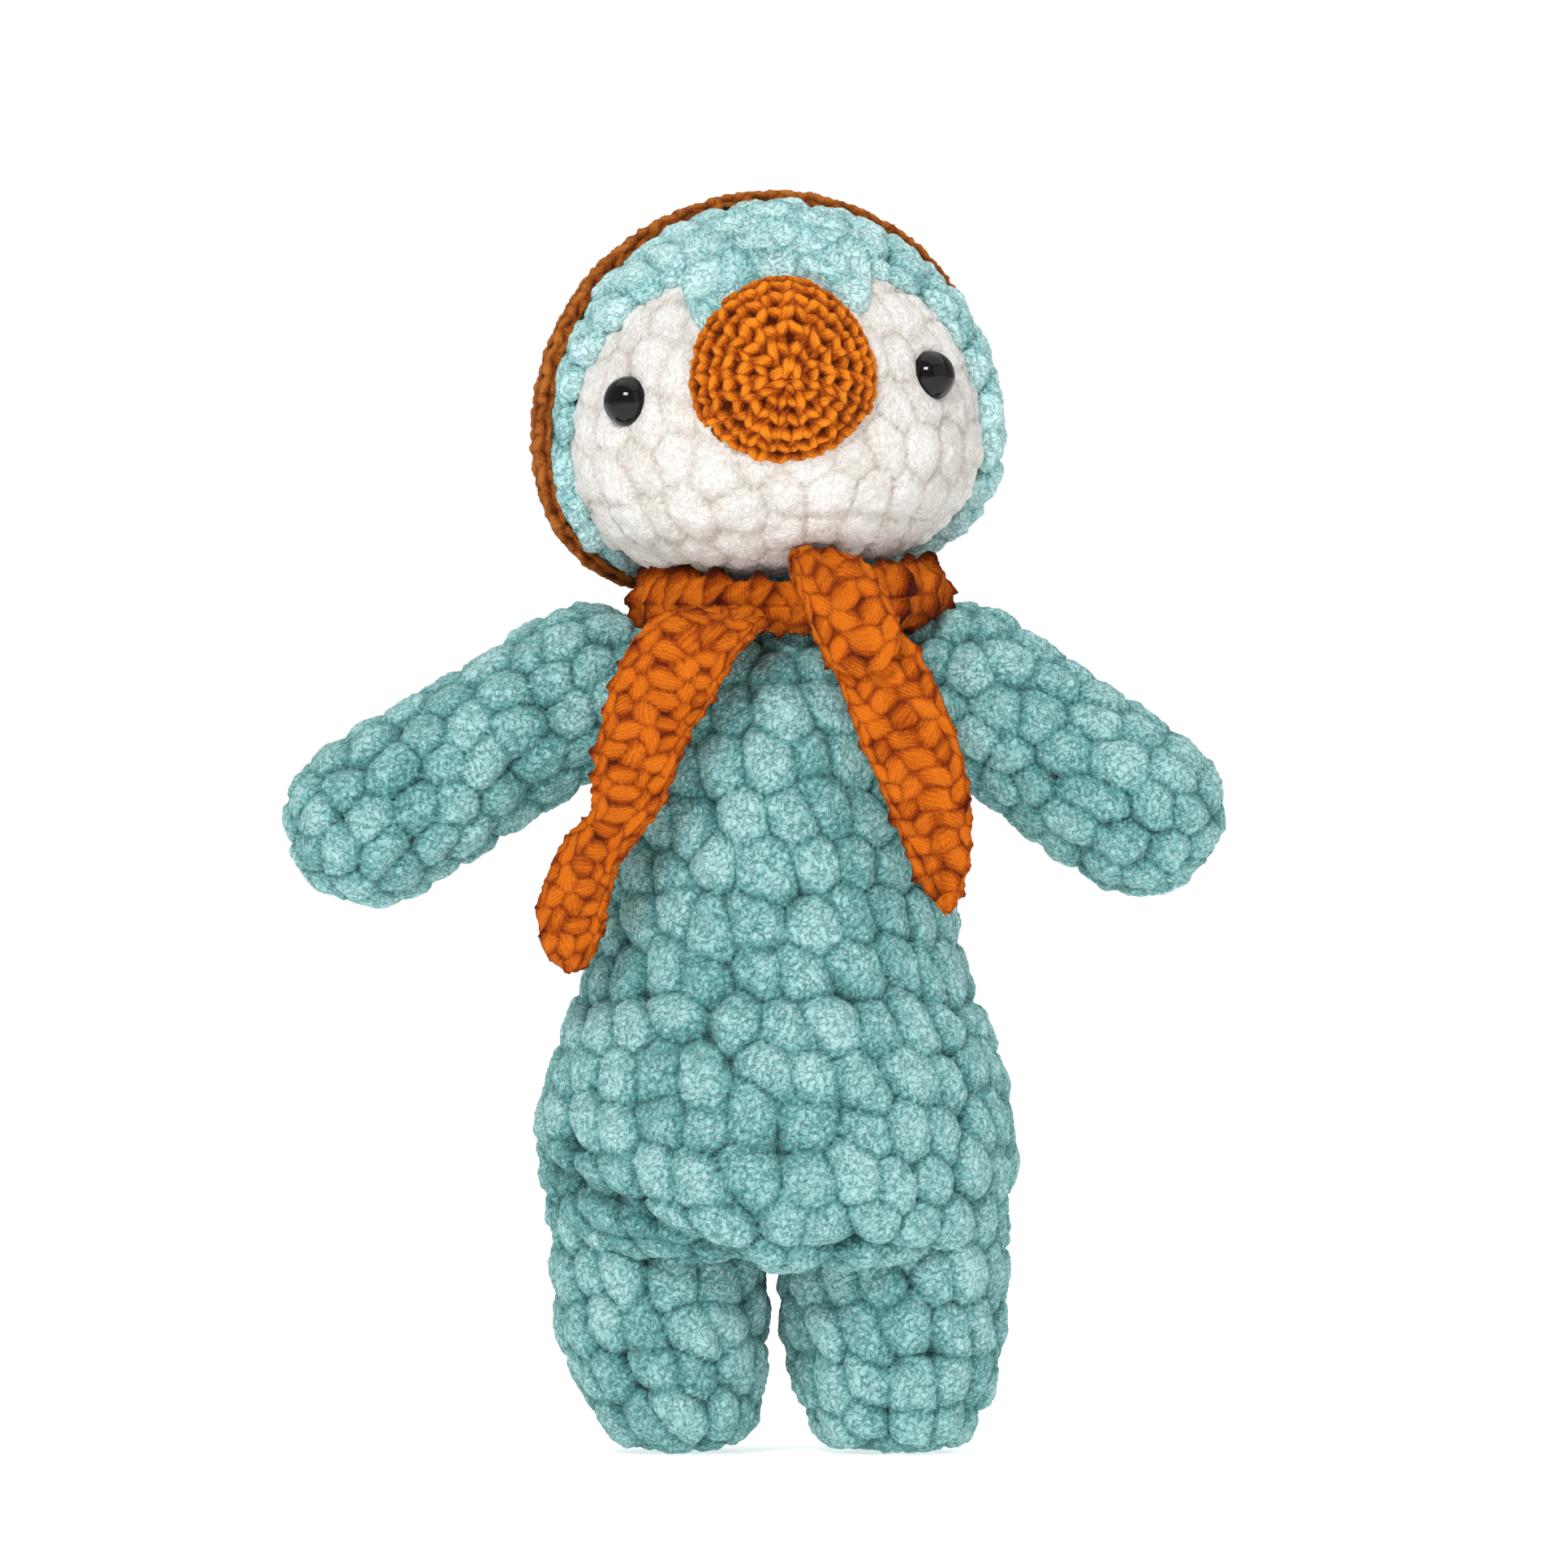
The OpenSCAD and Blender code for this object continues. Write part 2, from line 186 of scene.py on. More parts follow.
CHENILLE_FORM = {"loose": 0.2, "lean_spread": 0.3, "form": (0.94, 1.12), "power": (1.25, 0.6)}
YARN_FORM = {"loose": 0.12, "lean_spread": 0.2, "form": (0.88, 1.45), "power": (1.05, 0.8)}


def stitches(turn, s, girth, stitch, seed, slant, size, zigzag, loose, lean_spread, form, power):
    """Rows of plump stitches. turn (0 to 1) runs round a row and s (mm) runs across the rows.

    Every stitch is an oval that leans by slant, and by zigzag one way and the other in turn. loose and
    lean_spread say how much the stitches differ, form is the oval's share of its cell across and along, and
    power shapes its crown.
    Returns the height (0 to 1), how near the next stitch is (0 to 1), the place across each stitch, and a
    number from -1 to 1 for each stitch.
    """
    wide, tall = stitch
    rng = np.random.default_rng(seed)
    shape = np.broadcast(turn, s).shape
    turn, s, girth = (np.broadcast_to(a, shape) for a in (turn, s, girth))
    row_s = s.mean(axis=1)
    row_count = int(row_s.max() / tall) + 4
    row_girth = np.interp((np.arange(row_count) - 0.5) * tall, row_s, girth.mean(axis=1))
    counts = np.maximum(5, np.round(row_girth / wide).astype(int))
    if zigzag:
        counts += counts % 2
    lots = rng.uniform(-1, 1, (row_count, counts.max(), 6))
    drift = np.cumsum(rng.uniform(0.3, 0.7, row_count))
    home = np.floor(s / tall).astype(int)
    best, second, across, tint = (np.zeros(shape) for _ in range(4))
    for up in (-1, 0, 1):
        row = np.clip(home + up + 1, 0, row_count - 1)
        n = counts[row]
        phase = drift[row]
        cell = np.floor(turn * n - phase).astype(int)
        for side in (-1, 0, 1):
            j = cell + side
            lot = lots[row, np.mod(j, n)]
            du = (turn - (j + 0.5 + phase + loose * lot[..., 0]) / n) * girth
            dv = s - (row - 0.5 + loose * lot[..., 1]) * tall
            lean = slant + lean_spread * lot[..., 2] + zigzag * (1 - 2 * np.mod(j, 2))
            c, sn = np.cos(lean), np.sin(lean)
            x = (du * c + dv * sn) / (size * form[0] * wide * (1.0 + 0.15 * lot[..., 3]))
            y = (dv * c - du * sn) / (size * form[1] * tall * (1.0 + 0.15 * lot[..., 4]))
            high = np.clip(1 - (x * x + y * y) ** power[0], 0, None) ** power[1] * (0.9 + 0.1 * lot[..., 5])
            wins = high > best
            second = np.where(wins, best, np.maximum(second, high))
            best = np.where(wins, high, best)
            across = np.where(wins, x, across)
            tint = np.where(wins, lot[..., 5], tint)
    near = np.exp(-(best - second) / 0.1)
    return best, near, across, tint


def shading_fields(crest_shading, first, gap):
    """The fields that colour the chenille with painted light: how high a point lies, for painted shade in
    the creases and a painted highlight on the crests, and how near a gap between tufts, for painted shade
    in the gaps.
    """
    return {"crest_shading": np.clip(crest_shading, 0, 1), "crack_shading": np.clip((gap - first) / 0.35, 0, 1)}


def chenille(
    base, girth, s, stitch, seed, bulge=3.9, sink=2.5, slant=0.5, pile=0.5, size=0.74, dimples=(), crease=0
):
    """Chenille crochet on a grid: plump stitches with deep creases, and tufts of pile.

    Each dimple is a centre and a radius inside which the crochet lies flat. crease (0 to 1) draws it in and
    darkens it with painted shade. The returned fields paint shade into the creases and a highlight onto the
    crests.
    """
    turn = np.arange(base.shape[1])[None, :] / base.shape[1]
    wander = soft_noise(base, 10, seed + 9)
    turn = turn + 0.16 * wander * stitch[0] / girth.max()
    across_rows = s[:, None] + 0.18 * stitch[1] * soft_noise(base, 12, seed + 8)
    high, near, _, tint = stitches(
        turn, across_rows, girth[:, None], stitch, seed, slant, size, zigzag=0.0, **CHENILLE_FORM
    )
    warped = base + 1.3 * np.stack([soft_noise(base, 4, seed + k) for k in (1, 2, 3)], -1)
    normal = normals_of(base)
    small, _ = tufts(warped + normal * (bulge * high)[..., None], LUMP, seed + 5)
    crinkled = base + 0.5 * np.stack([soft_noise(base, 1.8, seed + k) for k in (4, 5, 6)], -1)
    first, gap = tufts(crinkled, CRINKLE, seed + 7)
    lift = bulge * (high - 0.2 * near) - sink + 1.1 * (0.5 - small) + pile * (0.45 - first)
    lift = lift - CREASE_DEPTH * crease
    for centre, radius in dimples:
        away = np.linalg.norm(base - centre, axis=-1)
        keep = np.clip((away - radius) / DIMPLE_FADE, 0, 1)
        lift = lift * keep - 0.5 * (1 - keep)
    # painted shade: darker between stitches, between lumps and in the crease; painted highlight on the
    # stitches' crowns
    crest_shading = 1.05 * high - 0.42 * near - 0.3 * (small - 0.45) - 0.4 * crease
    return base + normal * lift[..., None], {**shading_fields(crest_shading, first, gap), "tint": tint}


def yarn(base, girth, s, stitch, seed, bulge=1.5, sink=0.8, slant=0.0, zigzag=0.55, size=0.8, groove=0.0):
    """Crochet in spun yarn: each stitch is a pair of leaning strands."""
    turn = np.arange(base.shape[1])[None, :] / base.shape[1]
    half = (stitch[0] / 2, stitch[1])
    rows = s[:, None] + 0.12 * stitch[1] * soft_noise(base, 5, seed + 8)
    high, near, across, tint = stitches(
        turn, rows, girth[:, None], half, seed, slant, size, zigzag, **YARN_FORM
    )
    normal = normals_of(base)
    rib = 0.5 - 0.5 * np.cos(2 * math.pi * rows / stitch[1])
    ply = np.cos(across * 6.0 + 1.2 * s[:, None])
    lift = bulge * high - sink + groove * (rib - 1) + 0.14 * ply + 0.35 * soft_noise(base, 1.0, seed)
    # painted shade in the gaps between strands and in the grooves between rows, painted highlight on the
    # strands' crowns
    crest_shading = np.clip(1.12 * high - 0.3 * near - 0.25 * (1 - rib) * (groove > 0) + 0.08 * ply, 0, 1)
    return base + normal * lift[..., None], {"crest_shading": crest_shading, "strand": across * half[0], "tint": tint}


# ---- meshes ----


def make_piece(name, grid, fields, material, poles=(True, True), ring=False):
    """A mesh from a grid of points in millimetres, closed round each row. A pole closes the first or last
    row with a fan, and a ring joins the last row to the first."""
    rows, columns = grid.shape[:2]
    points = grid.reshape(-1, 3)
    index = np.arange(rows * columns).reshape(rows, columns)
    low = index if ring else index[:-1]
    high = np.roll(index, -1, 0) if ring else index[1:]
    quads = np.stack([low, np.roll(low, -1, 1), np.roll(high, -1, 1), high], -1).reshape(-1, 4)
    extra, fans = [], []
    if poles[0] and not ring:
        extra.append(grid[0].mean(0))
        hub = len(points) + len(extra) - 1
        fans += [(hub, int(b), int(a)) for a, b in zip(index[0], np.roll(index[0], -1))]
    if poles[1] and not ring:
        extra.append(grid[-1].mean(0))
        hub = len(points) + len(extra) - 1
        fans += [(hub, int(a), int(b)) for a, b in zip(index[-1], np.roll(index[-1], -1))]
    points = np.vstack([points] + [hub_point[None] for hub_point in extra])
    return mesh_piece(name, points, quads, fans, fields, material, len(extra))


def mesh_piece(name, points, quads, fans, fields, material, extra):
    """A mesh with its fields. The last points, as many as extra says, are hubs and get the mean values."""
    mesh = bpy.data.meshes.new(name)
    mesh.from_pydata((points * MM).tolist(), [], quads.tolist() + [list(f) for f in fans])
    mesh.shade_smooth()
    for key, values in fields.items():
        flat = np.concatenate([np.asarray(values, float).ravel(), np.zeros(extra)])
        if extra:
            flat[-extra:] = flat[:-extra].mean()
        attribute = mesh.attributes.new(key, "FLOAT", "POINT")
        attribute.data.foreach_set("value", flat.astype(np.float32))
    place = mesh.attributes.new("place", "FLOAT_VECTOR", "POINT")
    place.data.foreach_set("vector", points.astype(np.float32).ravel())
    mesh.materials.append(material)
    piece = bpy.data.objects.new(name, mesh)
    bpy.context.scene.collection.objects.link(piece)
    return piece


def finish_piece(piece, body, nodes):
    """Puts a piece on its body and hides the CAD nodes that it stands for."""
    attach(piece, body)
    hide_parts(*nodes)


# ---- materials ----


def node_tools(holder):
    """The two ways to build the nodes of a material or a world: add one, and link two."""
    tree = holder.node_tree
    tree.nodes.clear()

    def add(kind, **values):
        node = tree.nodes.new(kind)
        for key, value in values.items():
            if key in node.inputs.keys():
                node.inputs[key].default_value = value
            else:
                setattr(node, key, value)
        return node

    def link(a, b):
        tree.links.new(a, b)

    return add, link


def attribute(add, name):
    """Reads one of the numbers that the mesh holds at each point."""
    return add("ShaderNodeAttribute", attribute_name=name, attribute_type="GEOMETRY")


def ramp(add, link, source, stops):
    """A colour chosen by a number, between stops of (position, colour)."""
    node = add("ShaderNodeValToRGB")
    elements = node.color_ramp.elements
    while len(elements) < len(stops):
        elements.new(0.5)
    for element, (at, colour) in zip(elements, stops):
        element.position = at
        element.color = (*colour, 1)
    link(source, node.inputs["Fac"])
    return node.outputs["Color"]


def mixed(add, link, kind, factor, a, b):
    """Two colours mixed. A number or a colour is set, and anything else is linked."""
    node = add("ShaderNodeMix", data_type="RGBA", blend_type=kind)
    for socket, value in (("Factor", factor), ("A", a), ("B", b)):
        places = [i for i in node.inputs if i.name == socket and i.enabled]
        target = places[-1] if socket != "Factor" else places[0]
        if isinstance(value, (int, float)):
            target.default_value = value
        elif isinstance(value, tuple):
            target.default_value = (*value, 1)
        else:
            link(value, target)
    return [o for o in node.outputs if o.enabled][0]


def maths(add, link, operation, a, b=0.0, c=0.0, clamp=False):
    """One sum on numbers. A number is set, and anything else is linked."""
    node = add("ShaderNodeMath", operation=operation, use_clamp=clamp)
    for target, value in zip(node.inputs, (a, b, c)):
        if isinstance(value, (int, float)):
            target.default_value = value
        else:
            link(value, target)
    return node.outputs[0]


def texture(add, link, where, kind, **values):
    """A noise or cell texture, placed by a vector."""
    node = add(kind, **values)
    link(where, node.inputs["Vector"])
    return node


def new_material(name):
    material = bpy.data.materials.new(name)
    material.use_nodes = True
    return material, *node_tools(material)


def close_material(add, link, colour, bump, roughness, specular, sheen=None):
    """Joins a colour and a bump to the shader. sheen is its weight, roughness and colour."""
    shader = add("ShaderNodeBsdfPrincipled", Roughness=roughness)
    shader.inputs["Specular IOR Level"].default_value = specular
    if sheen:
        shader.inputs["Sheen Weight"].default_value = sheen[0]
        shader.inputs["Sheen Roughness"].default_value = sheen[1]
        shader.inputs["Sheen Tint"].default_value = (*sheen[2], 1)
    link(colour, shader.inputs["Base Color"])
    link(bump.outputs["Normal"], shader.inputs["Normal"])
    out = add("ShaderNodeOutputMaterial")
    link(shader.outputs[0], out.inputs["Surface"])


def chenille_pile(add, link, place):
    """The pile's textures: small cells, the folds between them, fine fluff and a broad wash. The cells and
    folds darken the colour as painted shade in the pile's cracks.
    """
    warp = texture(add, link, place, "ShaderNodeTexNoise", Scale=0.55, Detail=3.0)
    moved = add("ShaderNodeVectorMath", operation="MULTIPLY_ADD")
    link(warp.outputs["Color"], moved.inputs[0])
    moved.inputs[1].default_value = (1.6, 1.6, 1.6)
    link(place, moved.inputs[2])
    where = moved.outputs[0]
    cells = texture(add, link, where, "ShaderNodeTexVoronoi", feature="F1", Scale=1.15, Randomness=1.0)
    folds = texture(add, link, where, "ShaderNodeTexNoise", Scale=0.62, Detail=2.5, Roughness=0.55)
    fold = maths(add, link, "ABSOLUTE", maths(add, link, "MULTIPLY_ADD", folds.outputs["Fac"], 9.0, -4.5))
    fold = ramp(add, link, fold, [(0.0, (0, 0, 0)), (0.25, (0.7, 0.7, 0.7)), (0.8, (1, 1, 1))])
    fine = texture(add, link, place, "ShaderNodeTexNoise", Scale=2.6, Detail=4.0, Roughness=0.65)
    broad = texture(add, link, place, "ShaderNodeTexNoise", Scale=0.05, Detail=2.0)
    return cells.outputs["Distance"], fold, fine.outputs["Fac"], broad.outputs["Fac"]


def chenille_material(name, deep, middle, high, sheen, pile=1.0):
    """Velvety chenille: painted shade in the creases, a painted highlight on the plump stitches, with fine
    tufts of pile.
    """
    material, add, link = new_material(name)
    place = attribute(add, "place").outputs["Vector"]
    crest_shading = attribute(add, "crest_shading").outputs["Fac"]
    crack_shading = attribute(add, "crack_shading").outputs["Fac"]
    tint = attribute(add, "tint").outputs["Fac"]
    cells, fold, fine, broad = chenille_pile(add, link, place)

    # the colour's level: painted shade and highlight by stitch height, painted shade in the tuft gaps,
    # folds and cells, fine fluff, and a random tone per stitch
    level = maths(add, link, "MULTIPLY_ADD", crest_shading, 0.6, -0.04 * pile)
    level = maths(add, link, "MULTIPLY_ADD", fold, 0.24 * pile, level)
    level = maths(add, link, "MULTIPLY_ADD", crack_shading, 0.2, level)
    level = maths(add, link, "MULTIPLY_ADD", fine, 0.3, level)
    level = maths(add, link, "MULTIPLY_ADD", cells, -0.4 * pile, level)
    level = maths(add, link, "MULTIPLY_ADD", tint, 0.05, level, clamp=True)
    colour = ramp(add, link, level, [(0.16, deep), (0.54, middle), (0.95, high)])
    wash = ramp(add, link, broad, [(0.3, (0.9, 0.92, 0.92)), (0.7, (1.0, 1.0, 1.0))])
    colour = mixed(add, link, "MULTIPLY", 0.7, colour, wash)

    bump_height = maths(add, link, "MULTIPLY_ADD", cells, -1.0, 1.0)
    bump_height = maths(add, link, "MULTIPLY_ADD", fine, 0.9, bump_height)
    bump_height = maths(add, link, "MULTIPLY_ADD", fold, 1.3, bump_height)
    bump = add("ShaderNodeBump", Strength=0.85 * pile, Distance=0.0005)
    link(bump_height, bump.inputs["Height"])
    close_material(add, link, colour, bump, roughness=0.92, specular=0.15, sheen=(sheen, 0.45, high))
    return material


def yarn_material(name, deep, middle, high):
    """Spun yarn: strands run along each stitch with painted shade between them, painted shade in the
    grooves and a painted highlight on the crests, and loose fibres catch the light as a painted highlight.
    """
    material, add, link = new_material(name)
    place = attribute(add, "place").outputs["Vector"]
    crest_shading = attribute(add, "crest_shading").outputs["Fac"]
    strand = attribute(add, "strand").outputs["Fac"]
    tint = attribute(add, "tint").outputs["Fac"]

    fibre = texture(add, link, place, "ShaderNodeTexNoise", Scale=1.9, Detail=5.0, Roughness=0.7)
    wobble = maths(add, link, "MULTIPLY_ADD", fibre.outputs["Fac"], 2.2, strand)
    lines = maths(add, link, "SINE", maths(add, link, "MULTIPLY", wobble, 7.5))
    lines = maths(add, link, "MULTIPLY_ADD", lines, 0.5, 0.5)
    # the colour's level: painted shade and highlight by stitch height, painted shade between the plies,
    # painted highlight from loose fibres, and a random tone per stitch
    level = maths(add, link, "MULTIPLY_ADD", crest_shading, 0.74, 0.0)
    level = maths(add, link, "MULTIPLY_ADD", lines, 0.2, level)
    level = maths(add, link, "MULTIPLY_ADD", fibre.outputs["Fac"], 0.22, level)
    level = maths(add, link, "MULTIPLY_ADD", tint, 0.05, level, clamp=True)
    colour = ramp(add, link, level, [(0.28, deep), (0.64, middle), (1.0, high)])

    bump_height = maths(add, link, "MULTIPLY_ADD", fibre.outputs["Fac"], 1.2, lines)
    bump = add("ShaderNodeBump", Strength=0.6, Distance=0.0003)
    link(bump_height, bump.inputs["Height"])
    close_material(add, link, colour, bump, roughness=0.8, specular=0.12, sheen=(0.1, 0.4, high))
    return material


def plain_material(name, dark, light, roughness, scale, bump_mm, specular=0.5):
    """A moulded or fibrous finish with a little mottle, placed by the object's own coordinates."""
    material, add, link = new_material(name)
    where = add("ShaderNodeTexCoord").outputs["Object"]
    noise = texture(add, link, where, "ShaderNodeTexNoise", Scale=scale, Detail=4.0)
    colour = ramp(add, link, noise.outputs["Fac"], [(0.3, dark), (0.7, light)])
    bump = add("ShaderNodeBump", Strength=0.4, Distance=bump_mm * MM)
    link(noise.outputs["Fac"], bump.inputs["Height"])
    close_material(add, link, colour, bump, roughness, specular)
    return material


# Each crochet colour is given in the creases, as painted shade, on the sides, and on the crests of its
# stitches, as a painted highlight
TEAL = chenille_material(
    "teal_chenille", (0.012, 0.095, 0.093), (0.118, 0.35, 0.342), (0.44, 0.71, 0.7), sheen=0.6
)
HOOD_TEAL = chenille_material(
    "hood_chenille", (0.06, 0.27, 0.28), (0.32, 0.62, 0.62), (0.68, 0.92, 0.92), sheen=0.5
)
WHITE = chenille_material(
    "white_chenille", (0.475, 0.415, 0.36), (0.635, 0.598, 0.555), (0.79, 0.77, 0.745), sheen=0.2, pile=0.6
)
ORANGE = yarn_material("orange_yarn", (0.05, 0.004, 0.0002), (0.31, 0.045, 0.001), (0.72, 0.17, 0.007))
BEAK_ORANGE = yarn_material(
    "orange_yarn_beak", (0.07, 0.008, 0.0004), (0.42, 0.075, 0.002), (0.86, 0.26, 0.011)
)
# The cap's yarn is the same orange yarn, made darker and browner as painted shade, since the cap lies in
# shade behind the hood
SHADED_CAP_ORANGE = yarn_material(
    "orange_yarn_cap_painted_shade", (0.06, 0.012, 0.001), (0.26, 0.06, 0.006), (0.5, 0.16, 0.025)
)
FIBRE = plain_material(
    "polyester_fibre", (0.8, 0.8, 0.78), (0.95, 0.95, 0.93), roughness=0.9, scale=900, bump_mm=0.4
)
BLACK = plain_material(
    "black_eye",
    (0.001, 0.001, 0.0015),
    (0.002, 0.002, 0.0025),
    roughness=0.06,
    scale=60,
    bump_mm=0.002,
    specular=0.3,
)
NYLON = plain_material(
    "nylon_washer", (0.62, 0.62, 0.58), (0.72, 0.72, 0.68), roughness=0.45, scale=400, bump_mm=0.05
)

# ---- rounded forms ----


def rounded(stations, step):
    """A grid round a stack of stations [x, y, z, half width, half depth], from the bottom up."""
    line = cut_corners(stations)
    travel = np.stack([line[:, 2] - line[0, 2], line[:, 3]], 1)
    along = np.concatenate([[0], np.cumsum(np.linalg.norm(np.diff(travel, axis=0), axis=1))])
    count = int(round(along[-1] / step))
    s = np.linspace(0, along[-1], count + 1)
    x, y, z, wide, deep = (np.interp(s, along, line[:, i]) for i in range(5))
    girth = math.pi * (wide + deep)
    columns = int(round(girth.max() / step))
    around = full_turn(columns)  # from the back, where the seam is out of sight
    grid = np.stack(
        [
            x[:, None] - wide[:, None] * np.sin(around),
            y[:, None] + deep[:, None] * np.cos(around),
            np.broadcast_to(z[:, None], (len(z), columns)),
        ],
        -1,
    )
    return grid, girth, s


def belly_crease(grid, x, y, base):
    """How deep the slanting crease over the left leg is (0 to 1), with the slack crochet under it."""
    across, upward = grid[..., 0] - x, grid[..., 2] - base
    above = (upward + 4.0 + 0.5 * across) * 0.9
    fold = np.exp(-((above / 2.0) ** 2)) + 0.55 / (1 + np.exp(2.0 * above))
    on_left = np.clip(-across / 10 + 0.2, 0, 1) * np.clip((y + 10 - grid[..., 1]) / 20, 0, 1)
    return fold * on_left


def build_torso():
    low, high = node_box("torso_shell")
    x = (low[0] + high[0]) / 2
    y = (low[1] + high[1]) / 2
    base, top = low[2], high[2]
    stations = [
        (x, y, base - 1, 1, 1),
        (x, y, base - 1, 22, 18),
        (x, y, base - 0.5, 34, 29),
        (x, y, base + 3, 41.5, 35),
        (x, y, base + 9, 45.5, 37.5),
        (x, y, base + 18, 47, 38.5),
        (x, y, base + 28, 46.5, 38),
        (x, y, base + 38, 44.5, 36.5),
        (x, y, base + 48, 40.5, 34),
        (x, y, base + 58, 36.5, 32),
        (x, y, base + 68, 34.5, 30.5),
        (x, y, base + 80, 33.5, 29.5),
        (x, y, base + 92, 33, 29),
        (x, y, base + 104, 31.5, 28.5),
        (x, y, base + 113, 28, 26.5),
        (x + 1, y, base + 119, 23, 22),
        (x + 2, y, base + 124, 16, 16),
        (x + 2, y, top - 1, 12, 12),
        (x + 2, y, top, 7, 7),
        (x + 2, y, top, 1, 1),
    ]
    base_grid, girth, s = rounded(stations, CHENILLE_STEP * 1.05)
    crease = belly_crease(base_grid, x, y, base)
    grid, fields = chenille(base_grid, girth, s, BODY_STITCH, seed=11, crease=crease)
    piece = make_piece("torso_crochet", grid, fields, TEAL)
    finish_piece(piece, "torso", ["torso_shell"])


def build_leg(side, foot_shift, seed):
    """A leg whose foot stands foot_shift to the side of the hip."""
    node = f"leg_{side}_shell"
    low, high = node_box(node)
    hip = pivot(f"leg_{side}_swing")
    radius = (high[0] - low[0]) / 2
    x, y = hip[0], hip[1]
    foot = x + foot_shift
    thigh = x + (0.7 if side == "left" else -0.7)
    r = radius - 0.8
    stations = [
        (foot, y, 1.2, 1, 1),
        (foot, y, 1.2, r * 0.42, r * 0.5),
        (foot, y, 2.4, r * 0.6, r * 0.7),
        (foot, y, 6, r * 0.72, r * 0.84),
        (foot * 0.7 + x * 0.3, y, 11, r * 0.83, r * 0.92),
        (foot * 0.4 + x * 0.6, y, 18, r * 0.93, r * 0.98),
        (thigh, y, 27, r, r),
        (thigh, y, 38, r, r),
        (x, y, 46, r * 0.98, r * 0.98),
        (x, y, 55, r * 0.85, r * 0.85),
        (x, y, 61, r * 0.6, r * 0.6),
        (x, y, 64, r * 0.3, r * 0.3),
        (x, y, 64.5, 1, 1),
    ]
    base_grid, girth, s = rounded(stations, CHENILLE_STEP)
    grid, fields = chenille(base_grid, girth, s, BODY_STITCH, seed=seed)
    piece = make_piece(f"leg_{side}_crochet", grid, fields, TEAL)
    finish_piece(piece, f"leg_{side}", [node])


ARM_R = 17.5  # radius of an arm


def hand_centre(side):
    """The middle of the round end of an arm."""
    low, high = node_box(f"arm_{side}_shell")
    x = low[0] + ARM_R if side == "left" else high[0] - ARM_R
    return np.array([x, pivot(f"arm_{side}_raise")[1], low[2] + ARM_R])


def build_arm(side, seed):
    node = f"arm_{side}_shell"
    shoulder = pivot(f"arm_{side}_raise")
    hand = hand_centre(side)
    axis = unit(hand - shoulder)
    reach = np.linalg.norm(hand - shoulder)
    r = ARM_R - 0.9
    profile = [(-r, 1), (-r * 0.96, r * 0.3), (-r * 0.75, r * 0.68), (-r * 0.4, r * 0.92), (0, r * 0.98)]
    profile += [(reach * 0.3, r * 0.95), (reach * 0.65, r * 0.98), (reach, r)]
    profile += [(reach + r * f, r * math.sqrt(1 - f * f)) for f in (0.3, 0.55, 0.75, 0.89, 0.97)]
    profile += [(reach + r, 1)]
    stations = [(0, 0, t, w, w) for t, w in profile]
    base_grid, girth, s = rounded(stations, CHENILLE_STEP)
    side_way = unit(np.cross(axis, (0.0, 1.0, 0.0)))
    back = np.cross(side_way, axis)
    turn = np.stack([side_way, -back, axis], 1)
    if np.linalg.det(turn) < 0:
        turn[:, 0] *= -1
    base_grid = base_grid @ turn.T + shoulder
    grid, fields = chenille(base_grid, girth, s, ARM_STITCH, seed, bulge=3.6, sink=2.3, slant=0.35)
    piece = make_piece(f"arm_{side}_crochet", grid, fields, TEAL)
    finish_piece(piece, f"arm_{side}", [node])


# ---- head ----

HEAD_TILT = -5.0  # degrees, toward a shoulder
HEAD_YAW = 4.5  # degrees, to one side
HEAD_RISE = 31.0  # from the neck's joint up to the widest level
HEAD_R = 41.0  # half width
HEAD_UP = (HEAD_R, 40.6, 30.0)  # half width, height and side radius of the upper half
HEAD_DOWN = (HEAD_R, 30.0, 28.0)
HEAD_ARC = 39.0  # mean radius up and down the head
SHELL_R = 44.0  # mean radius of the hood and the cap
SHELL_ARC = 43.0  # their mean radius from the rim to the back
HEAD_TURN = turned("y", HEAD_TILT) @ turned("z", HEAD_YAW)
HEAD_CENTRE = pivot("head_turn") + HEAD_TURN @ np.array([0, 0, HEAD_RISE])
EYE_AROUND = 49.0  # degrees from straight ahead
EYE_OUT = 40.2  # from the head's upright axis
EYE_Z = 7.0
BEAK_AT = np.array([0.0, -35.5, 7.9])  # the middle of the beak's base, from the head's centre
BEAK_R = 18.2
BEAK_LEN = 15.5


def to_row(local):
    """From the head's own frame to the row frame."""
    return local @ HEAD_TURN.T + HEAD_CENTRE


def half_reach(rise, half):
    """How far the head's surface is from its centre, at an angle above or below the widest level."""
    wide, high, side = half
    ring = wide - side
    cap = (ring * ring + high * high - side * side) / (2 * (high - side))
    drop = cap - high
    edge = math.atan2(side * drop / math.hypot(ring, drop), ring + side * ring / math.hypot(ring, drop))
    on_side = ring * np.cos(rise) + np.sqrt(np.maximum(side**2 - (ring * np.sin(rise)) ** 2, 0))
    on_cap = -drop * np.sin(rise) + np.sqrt(np.maximum(cap**2 - (drop * np.cos(rise)) ** 2, 0))
    return np.where(rise < edge, on_side, on_cap)


def on_head(way, out=0.0):
    """The point of the head's skin in a direction, moved out by a distance."""
    rise = np.arcsin(np.clip(way[..., 2], -1, 1))
    reach = np.where(rise >= 0, half_reach(np.abs(rise), HEAD_UP), half_reach(np.abs(rise), HEAD_DOWN))
    jowl = 1.3 * np.exp(-(((rise + 0.42) / 0.3) ** 2)) * np.abs(way[..., 0])
    return way * (reach + jowl + out)[..., None]


